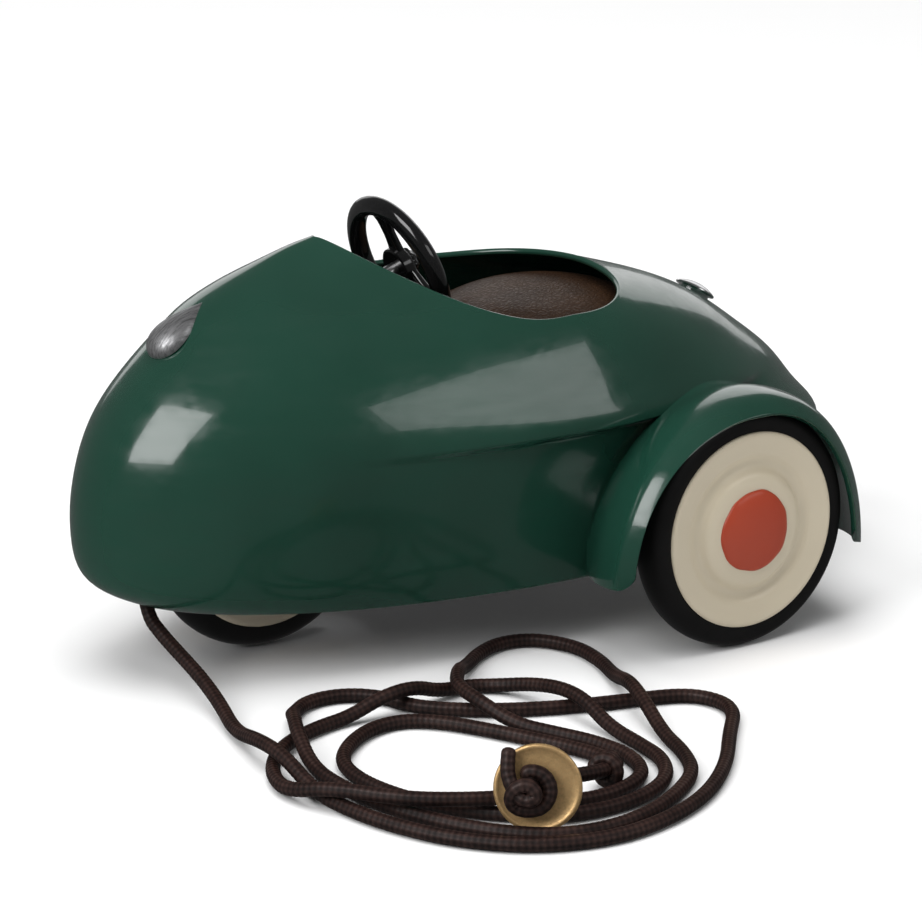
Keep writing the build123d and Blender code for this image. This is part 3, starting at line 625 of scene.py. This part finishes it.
# ================================================================ body shell
BODY_MID_X = -4.5
BODY_LEVELS = np.array([
    (15.6, 40.6, 85.2, -84.0), (18.0, 41.1, 90.0, -88.0), (22.0, 41.8, 93.8, -92.0),
    (30.0, 42.6, 95.25, -95.25), (38.0, 43.3, 94.6, -88.9), (46.0, 43.5, 92.4, -81.5),
    (54.0, 41.9, 88.4, -71.5), (62.0, 38.2, 81.7, -59.7), (67.0, 35.0, 76.6, -49.0),
    (70.6, 32.0, 72.8, -38.3), (74.0, 28.0, 68.9, -27.6), (78.0, 22.2, 61.9, -20.2),
    (82.0, 15.4, 52.1, -16.0), (85.0, 9.2, 44.0, -14.0), (86.8, 4.5, 36.5, -13.0)])
CREASE_Z = 48.4
SHELL_TAIL_X, SHELL_NOSE_X = -95.12, 95.2     # the sheet stays inside the CAD shell's length
NOSE_POWER, TAIL_POWER = 2.0, 1.75
level_at = np.concatenate([[0], np.cumsum(np.linalg.norm(np.diff(BODY_LEVELS, axis=0), axis=1))])
body_level = natural_spline(level_at, BODY_LEVELS)
LEVEL_TOP = level_at[-1]
fine_s = np.linspace(0, LEVEL_TOP, 1200)
fine_z = body_level(fine_s)[:, 0]


def level_of(z):
    return np.interp(z, fine_z, fine_s)


def body_point(angle, s):
    """Point of the body's outer surface: plan angle in radians, level parameter s."""
    z, half, nose, tail = np.moveaxis(body_level(s), -1, 0)
    along, across = np.cos(angle), np.sin(angle)
    ahead = along >= 0
    power = np.where(ahead, NOSE_POWER, TAIL_POWER)
    reach = np.where(ahead, nose - BODY_MID_X, BODY_MID_X - tail)
    x = BODY_MID_X + np.sign(along) * reach * np.abs(along) ** (2 / power)
    y = np.sign(across) * half * np.abs(across) ** (2 / power)
    return np.stack([x, y, z], axis=-1)


def outside_body(point, inset=0.0):
    """Above 0 where a point (mm) is outside the body's outline at its height."""
    x, y, z = point
    _, half, nose, tail = body_level(np.array([level_of(z)]))[0]
    along = x - BODY_MID_X
    power, reach = (NOSE_POWER, nose - BODY_MID_X) if along >= 0 else (TAIL_POWER, BODY_MID_X - tail)
    return (abs(along) / (reach - inset)) ** power + (abs(y) / (half - inset)) ** power - 1


def in_opening(p):
    x, y = p[..., 0] + 2.0, np.abs(p[..., 1])
    front = (np.abs(x) / 41.0) ** 2.2 + (y / 33.0) ** 1.06
    rear = (np.abs(x) / 29.1) ** 2.4 + (y / 33.0) ** 2.25
    return np.where(x >= 0, front, rear) < 1


def body_shell():
    cols = 288
    angle = 2 * np.pi * (np.arange(cols) + 0.5) / cols
    low, high = np.full(cols, float(level_of(60.0))), np.full(cols, LEVEL_TOP)
    for _ in range(40):
        mid = (low + high) / 2
        inside = in_opening(body_point(angle, mid))
        low, high = np.where(inside, low, mid), np.where(inside, mid, high)
    rim = (low + high) / 2
    crease = float(level_of(CREASE_Z))
    below = np.concatenate([np.linspace(0, 0.84, 24), np.linspace(0.86, 1.0, 14)]) * crease
    above = np.concatenate([np.linspace(0.006, 0.16, 14), np.linspace(0.175, 1.0, 62)])
    s = np.concatenate([np.repeat(below[:, None], cols, axis=1),
                        crease + above[:, None] * (rim - crease)[None, :]])
    p = body_point(angle[None, :], s)
    n = grid_normals(p, True)
    # pressed side crease: a shoulder that grows towards the rear, and a panel set back below it
    x, z = p[..., 0], p[..., 2]
    depth = smooth_step((58 - x) / 76) * smooth_step((x + 66) / 26)
    step = smooth_step((CREASE_Z - z) / 2.2)
    down = np.clip((z - 15.6) / (CREASE_Z - 15.6), 0, 1)
    move = -2.6 * depth * step * down ** 0.8
    shoulder = 1.6 * depth
    move += np.where(z > CREASE_Z, shoulder * np.exp(-((z - CREASE_Z) / 5.4) ** 2), shoulder * (1 - step))
    flat = n.copy()
    flat[..., 2] = 0
    flat /= np.maximum(np.linalg.norm(flat, axis=2, keepdims=True), 1e-6)
    p = p + flat * move[..., None]
    p[..., 0] = np.clip(p[..., 0], SHELL_TAIL_X, SHELL_NOSE_X)
    n = grid_normals(p, True)
    return sheet_body("body_shell_pressed", p, n, 1.2, 0.75, 0.95, True)


place(body_shell(), "car", "body_paint", "body_shell")

# ================================================================ fenders
LIP_Y = 64.0
LIP_TURN = 3.4            # width of the fender's rolled outer corner
FENDER_MAX_Y = 63.95      # its lip stays inside the CAD fender's width
fender_crown = natural_spline([20, 34, 43, 50, 57, 61.5, 64], [0, 0.8, 1.6, 3.2, 3.4, 2.2, 0.0])


def fender_point(y, angle, side):
    root = (LIP_Y - y) / 24.0
    grow = float(fender_crown(y))
    middle, foot = -31.5 - 4.5 * root, 17.0 + 2.0 * root
    front, rear, rise = 33.5 - 1.7 * root + grow, 26.0 + 5.8 * root + grow, 34.4 - 2.6 * root + grow
    c, s = math.cos(angle), math.sin(angle)
    power = 2.0 / (2.14 - 0.3 * min(root, 1.0))
    x = middle + math.copysign((front if c >= 0 else rear) * abs(c) ** power, c)
    return np.array((x, side * y, foot + math.copysign(rise * abs(s) ** power, s)))


def fender_foot(y, front):
    """Height of the fender's foot, with a rounded outer corner."""
    base = 15.7 + (y - 40) / 24 * (3.4 if front else 2.2)
    corner = max(0.0, y - (LIP_Y - LIP_TURN))
    return base + (LIP_TURN - math.sqrt(max(0.0, LIP_TURN ** 2 - corner ** 2)))


def fender_angle(y, front, side):
    """Arch angle at which the fender's edge reaches its foot height."""
    low, high = math.radians(-40), math.radians(60)
    target = fender_foot(y, front)
    for _ in range(40):
        mid = (low + high) / 2
        z = fender_point(y, mid if front else math.pi - mid, side)[2]
        low, high = (mid, high) if z < target else (low, mid)
    return low if front else math.pi - low


def fender(side):
    cols = 120
    lip_part = LIP_Y - LIP_TURN * (1 - np.cos(np.linspace(0, math.pi / 2, 9)))
    grid = np.zeros((34, cols, 3))
    for c in range(cols):
        t = c / (cols - 1)

        def at(y):
            a0, a1 = fender_angle(y, True, side), fender_angle(y, False, side)
            return fender_point(y, a0 + (a1 - a0) * t, side)

        outer, inner = LIP_Y - LIP_TURN, 24.0
        for _ in range(26):
            mid = (outer + inner) / 2
            if outside_body(at(mid), 0.7) > 0:
                outer = mid
            else:
                inner = mid
        ys = np.concatenate([lip_part, np.linspace(LIP_Y - LIP_TURN, inner, 26)[1:]])
        for r, y in enumerate(ys):
            grid[r, c] = at(y)
    grid[..., 1] = np.clip(grid[..., 1], -FENDER_MAX_Y, FENDER_MAX_Y)
    n = grid_normals(grid, False)
    middle = n[20, cols // 2]
    if middle[2] < 0:
        n = -n
    name = "fender_left" if side > 0 else "fender_right"
    return sheet_body(name + "_pressed", grid, n, 1.2, 0.5, 0, False)


for side, word in ((1, "left"), (-1, "right")):
    place(fender(side), "car", "body_paint", f"fender_{word}")


# ================================================================ headlight and tail cap
def headlight():
    """Raised teardrop lamp, round low down and pointed at its upper end."""
    low, high = Vector((77.6, 0, 66.1)), Vector((65.6, 0, 76.2))
    length = (high - low).length
    along = (high - low).normalized()
    up = Vector((-along.z, 0, along.x))
    if up.z < 0:
        up.negate()
    rows, count = 60, 40
    points, faces = [], []
    for r in range(rows):
        t = (r / (rows - 1)) ** 1.5
        t = 0.002 + 0.996 * t
        width = 5.4 * 2.52 * t ** 0.5 * (1 - t) ** 1.05
        for c in range(count + 1):
            a = math.pi * c / count
            q = low + along * (length * t) + Vector((0, 1, 0)) * (width * math.cos(a)) + up * (
                width * 0.63 * math.sin(a) ** 0.92 - 0.1)
            points.append(tuple(q))
    for r in range(rows - 1):
        for c in range(count):
            i = r * (count + 1) + c
            faces.append((i, i + 1, i + count + 2, i + count + 1))
        low_row, high_row = r * (count + 1), (r + 1) * (count + 1)
        faces.append((low_row + count, low_row, high_row, high_row + count))
    faces.append(tuple(range(count + 1)))
    faces.append(tuple(reversed(range((rows - 1) * (count + 1), rows * (count + 1)))))
    return outward(mesh_object("headlight_teardrop", points, faces, 50))


place(headlight(), "car", "lamp_silver", "headlight")

lean = math.radians(32.6)
CAP_FRAME = Matrix.Translation((-62.3, 0, 60.4)) @ Matrix.Rotation(-lean, 4, "Y")
cap_sphere = (4.7 ** 2 + 1.3 ** 2) / 2.6
cap_profile = [(0, -1.9), (3.5, -1.9), (3.6, 0.45), (3.7, 0.58), (4.4, 0.6),
               (4.62, 0.66), (4.7, 0.8), (4.66, 0.98)]
cap_profile += [(cap_sphere * math.sin(a), 2.3 - cap_sphere + cap_sphere * math.cos(a))
                for a in np.linspace(math.asin(4.7 / cap_sphere) * 0.97, 0.04, 12)] + [(0, 2.3)]
place(lathe("tail_cap_dome", cap_profile, CAP_FRAME, 72), "car", "chrome", "tail_cap")

# ================================================================ wheels
WHEEL_R, DISC_R, CAP_R = 26.0, 21.2, 8.8
REAR_AXLE_X, FRONT_AXLE_X = -30.5, 52.7


def tyre_section(half, inner):
    """Soft round tread over a straight side, (radius, height)."""
    points = [(inner, -half + 0.15), (inner + 0.5, -half), (23.0, -half)]
    for i in range(1, 12):
        a = math.pi * i / 12
        points.append((23.0 + 3.0 * math.sin(a) ** 0.8, -half * math.cos(a)))
    return points + [(23.0, half), (inner + 0.5, half), (inner, half - 0.15)]


def dished_face(face, proud):
    """Outer face of a wheel disc, (radius, height): rolled lip, groove, then the middle, proud of it."""
    raw = [(DISC_R, face - 0.3), (DISC_R, face + 0.3), (DISC_R - 0.75, face + 0.65),
           (DISC_R - 2.2, face + 0.35),
           (17.6, face + 0.1), (16.2, face - 0.15), (15.3, face - 0.75), (14.3, face - 1.05),
           (13.3, face - 0.9),
           (12.3, face + 0.55 * proud - 0.15), (11.2, face + 0.85 * proud), (9.9, face + proud),
           (CAP_R - 0.5, face + proud + 0.05)]
    return rounded(raw, 2)


def hand_painted(angle, k):
    """Slightly uneven edge of the painted middle."""
    return (0.012 * math.sin(3 * angle + 0.8) + 0.008 * math.sin(7 * angle + 2.0)
            + 0.004 * math.sin(13 * angle))


def cap_section(base, rise=2.6, edge=0.0):
    return [(CAP_R + edge, base - 0.25), (CAP_R + edge, base)] + [
        ((CAP_R + edge) * math.sin(a), base + 0.06 + rise * math.cos(a) ** 1.15) for a in
        np.radians([82, 74, 66, 58, 50, 42, 34, 26, 18, 10, 4])] + [(0, base + 0.06 + rise), ]


for side, word in ((1, "left"), (-1, "right")):
    at = facing_y(REAR_AXLE_X, side * 57.6, WHEEL_R, side)
    place(lathe(f"rear_tyre_{word}_rubber", tyre_section(4.0, DISC_R - 0.2), at, 160), "rear_wheels",
          "tyre_rubber", f"rear_tyre_{word}")
    hub = [(1.55, -4.0), (5.9, -4.0), (6.0, -3.8), (6.0, -0.5), (DISC_R - 2.0, -0.5), (DISC_R - 1.8, -3.9),
           (DISC_R - 0.3, -3.9)] + dished_face(4.0, 1.0) + [(1.55, 5.05)]
    place(lathe(f"rear_disc_{word}_dished", hub, at, 160), "rear_wheels", "wheel_cream", f"rear_disc_{word}")
    cap = [(0, 4.9)] + cap_section(5.05, 1.8)
    place(lathe(f"rear_cap_{word}_dome", cap, at, 120, hand_painted),
          "rear_wheels", "cap_red", f"rear_cap_{word}")

front_at = facing_y(FRONT_AXLE_X, 0, WHEEL_R, 1)
place(lathe("front_tyre_rubber", tyre_section(4.0, DISC_R - 0.2), front_at, 160),
      "front_wheel", "tyre_rubber", "front_tyre")
face = dished_face(3.8, -0.5)
both = [(1.55, 3.3)] + face[::-1] + [(r, -h) for r, h in face] + [(1.55, -3.3)]
place(lathe("front_disc_dished", both, front_at, 160), "front_wheel", "wheel_cream", "front_disc")
for side, word in ((1, "left"), (-1, "right")):
    cap = cap_section(3.35, 2.5)[:-2] + [(1.55, 3.35 + 0.04 + 2.45), (1.55, 3.25)]
    at = facing_y(FRONT_AXLE_X, 0, WHEEL_R, side)
    place(lathe(f"front_cap_{word}_dome", cap, at, 96, hand_painted), "front_wheel",
          "cap_red", f"front_cap_{word}")

# ================================================================ steering wheel
steer_lean = math.radians(20.3)
steer_back = Vector((-math.cos(steer_lean), 0, math.sin(steer_lean)))
steer_up = Vector((math.sin(steer_lean), 0, math.cos(steer_lean)))
STEER = Matrix((Vector((0, 1, 0)), steer_up, steer_back)).transposed().to_4x4()
STEER.translation = Vector((17.0, 0, 77.0))


def steering_ring():
    """One moulding: ring with a soft ridge on its outer face, three flared spokes and a bossed middle."""
    ring = []
    for a in np.linspace(0, 2 * math.pi, 28, endpoint=False):
        r = 2.05 + 0.12 * math.cos(3 * a + 0.4)
        ring.append((14.6 + r * math.cos(a), r * math.sin(a)))
    ring_obj = lathe("steering_wheel_moulding", ring, STEER, 128, sharp=80)
    parts = [ring_obj]
    boss = [(1.65, -1.1), (4.2, -1.1), (4.55, -0.8), (4.6, 0.9), (4.3, 1.5), (3.8, 1.85), (1.65, 1.85)]
    parts.append(lathe("boss", boss, STEER, 64))
    for k in range(3):
        turned = math.radians(90 + 120 * k)
        points, faces = [], []
        rows, count = 14, 16
        for r in range(rows):
            t = r / (rows - 1)
            reach = 3.4 + 10.2 * t
            half = 2.5 - 0.9 * math.sin(math.pi * min(1, t * 1.1)) ** 0.8 + 0.9 * max(0, t - 0.8) * 5
            thick = 0.95 + 0.35 * max(0, t - 0.75) * 4
            lift = 0.75 - 0.75 * smooth_step(t)
            for c in range(count):
                a = 2 * math.pi * c / count
                q = Vector((reach, half * math.copysign(abs(math.cos(a)) ** 0.7, math.cos(a)),
                            lift + thick * math.copysign(abs(math.sin(a)) ** 0.7, math.sin(a))))
                points.append(tuple(STEER @ (Matrix.Rotation(turned, 4, "Z") @ q)))
        for r in range(rows - 1):
            for c in range(count):
                c2 = (c + 1) % count
                faces.append((r * count + c, r * count + c2, (r + 1) * count + c2, (r + 1) * count + c))
        faces.append(tuple(range(count)))
        faces.append(tuple(reversed(range((rows - 1) * count, rows * count))))
        parts.append(outward(mesh_object(f"spoke_{k}", points, faces, 60)))
    b = bmesh.new()
    for o in parts:
        b.from_mesh(o.data)
    b.to_mesh(ring_obj.data)
    b.free()
    for o in parts[1:]:
        bpy.data.objects.remove(o)
    return ring_obj


place(steering_ring(), "steering", "black_gloss", "steering_wheel")


def scalloped(angle, k):
    return 0.07 * math.cos(9 * angle) if 1 <= k <= 4 else 0.0


knob = [(0, 1.8), (3.0, 1.8), (3.3, 2.0), (3.3, 2.5), (3.0, 3.0), (2.5, 3.3),
        (2.2, 3.35), (2.0, 3.9), (1.5, 4.6), (0.8, 5.0), (0, 5.1)]
place(lathe("steering_cap_scalloped", knob, STEER, 72, scalloped, 70),
      "steering", "black_gloss", "steering_cap")


# ================================================================ seat
def pad_start(shrink):
    """Stuffed pad before it swells: a crowned form over an oval board, (closed mesh in mm)."""
    cols, rows = 96, 22
    points, faces = [], []
    half_x, half_y = 27.5 - shrink, 33.0 - shrink
    profile = []
    for k in range(rows):
        t = k / (rows - 1)
        if t < 0.3:
            u = t / 0.3
            profile.append((0.90 + 0.10 * math.sin(u * math.pi / 2), 52.2 + 4.8 * u))
        else:
            u = (t - 0.3) / 0.7 * math.pi / 2
            profile.append((math.cos(u) ** 0.85, 57.0 + (10.6 - shrink) * math.sin(u) ** 0.9))
    for scale, z in profile[:-1]:
        for c in range(cols):
            a = 2 * math.pi * c / cols
            points.append((-19.5 + half_x * scale * math.cos(a), half_y * scale * math.sin(a), z))
    bottom, top = len(points), len(points) + 1
    points += [(-19.5, 0, 52.2), (-19.5, 0, profile[-1][1])]
    for r in range(rows - 2):
        for c in range(cols):
            c2 = (c + 1) % cols
            faces.append((r * cols + c, r * cols + c2, (r + 1) * cols + c2, (r + 1) * cols + c))
    last = (rows - 2) * cols
    for c in range(cols):
        faces.append((last + c, last + (c + 1) % cols, top))
        faces.append(((c + 1) % cols, c, bottom))
    return points, faces


def swell(obj, cap_mm):
    """Swells a mesh as cloth under pressure, at ten times size; each point moves at most about cap_mm."""
    scale = 10.0
    obj.data.transform(Matrix.Scale(scale, 4))
    rest = np.array([v.co for v in obj.data.vertices])
    cloth = obj.modifiers.new("cloth", "CLOTH")
    s = cloth.settings
    s.quality, s.mass, s.use_pressure, s.uniform_pressure_force = 6, 0.3, True, 4.0
    s.tension_stiffness = s.compression_stiffness = 18
    s.bending_stiffness = 1.5
    s.effector_weights.gravity = 0
    scene = bpy.context.scene
    scene.frame_start, scene.frame_end = 1, 20
    cloth.point_cache.frame_start, cloth.point_cache.frame_end = 1, 20
    for f in range(1, 21):
        scene.frame_set(f)
    shaped = obj.evaluated_get(bpy.context.evaluated_depsgraph_get()).to_mesh()
    now = np.array([v.co for v in shaped.vertices])
    obj.evaluated_get(bpy.context.evaluated_depsgraph_get()).to_mesh_clear()
    move = now - rest
    size = np.linalg.norm(move, axis=1, keepdims=True)
    cap = cap_mm * MM * scale
    now = rest + move * (cap * np.tanh(size / cap) / np.maximum(size, 1e-9))
    obj.modifiers.remove(cloth)
    scene.frame_set(1)
    obj.data.vertices.foreach_set("co", (now / scale).ravel())
    obj.data.update()


def seat():
    points, faces = pad_start(1.0)
    pad = outward(mesh_object("seat_pad_leather", points, faces, 70))
    swell(pad, 1.1)
    # flat where it rests on the board, dimpled crown, kept inside its space
    for v in pad.data.vertices:
        x, y, z = v.co / MM
        z = max(z, 52.05)
        r = math.hypot((x + 19.5) / 27.5, y / 33.0)
        z = min(z, 67.9)
        z += 1.5 * smooth_step((-8 - x) / 26) * smooth_step((z - 57) / 8) * max(0, 1 - r ** 4)
        z += 0.25 * math.sin(x * 0.19 + 1.3) * math.sin(y * 0.16 + 0.4) * max(0, 1 - r ** 2) if z > 58 else 0
        v.co = Vector((x, y, z)) * MM
    sub = pad.modifiers.new("smooth", "SUBSURF")
    sub.levels = sub.render_levels = 1
    return pad


pad = place(seat(), "car", "seat_leather", "seat_cushion")

seam_line = [(-19.5 + 27.3 * math.cos(a), 32.8 * math.sin(a), 56.2) for a in np.linspace(0, 2 * math.pi, 160)]
place(tube("seat_piping", seam_line, 0.8, 12, None, False), "car", "seat_leather")

# ================================================================ floor and light
floor_z = float(cad_box[0][2]) - 0.00005
floor_mesh = bpy.data.meshes.new("floor")
FLOOR_HALF = 6.0
corners = [(-1, -1), (1, -1), (1, 1), (-1, 1)]
floor_mesh.from_pydata([(x * FLOOR_HALF, y * FLOOR_HALF, floor_z) for x, y in corners], [], [(0, 1, 2, 3)])
floor = link(bpy.data.objects.new("floor", floor_mesh))
fn = Nodes("floor_white")
fn.set(Base_Color=(0.9, 0.9, 0.9, 1.0), Roughness=0.75, Specular_IOR_Level=0.2)
floor.data.materials.append(fn.mat)
floor.visible_glossy = False

world = bpy.data.worlds.new("studio")
bpy.context.scene.world = world
world.use_nodes = True
world.node_tree.nodes["Background"].inputs["Color"].default_value = (1, 1, 1, 1)
world.node_tree.nodes["Background"].inputs["Strength"].default_value = 0.12


def area_light(name, position, target, width, height, power, spread=180.0, glossy=True):
    data = bpy.data.lights.new(name, "AREA")
    data.shape, data.size, data.size_y, data.energy = "RECTANGLE", width, height, power
    data.spread = math.radians(spread)
    obj = link(bpy.data.objects.new(name, data))
    obj.location = position
    obj.rotation_mode = "QUATERNION"
    obj.rotation_quaternion = (Vector(target) - Vector(position)).to_track_quat("-Z", "Y")
    obj.visible_camera = False
    obj.visible_glossy = glossy
    return obj


area_light("overhead", (0.1, 0.0, 2.6), (0, 0, 0), 2.6, 2.6, 74, glossy=False)
area_light("key_softbox", (1.5, 0.25, 1.1), (0.05, 0, 0.04), 1.15, 1.05, 22)
area_light("behind", (-1.4, -2.2, 0.7), (0, 0, 0.05), 3.0, 1.2, 10)
area_light("side_mottle", (-0.75, 1.6, 1.15), (0, 0, 0.05), 1.5, 0.55, 5)

bpy.context.scene.view_settings.view_transform = "Standard"
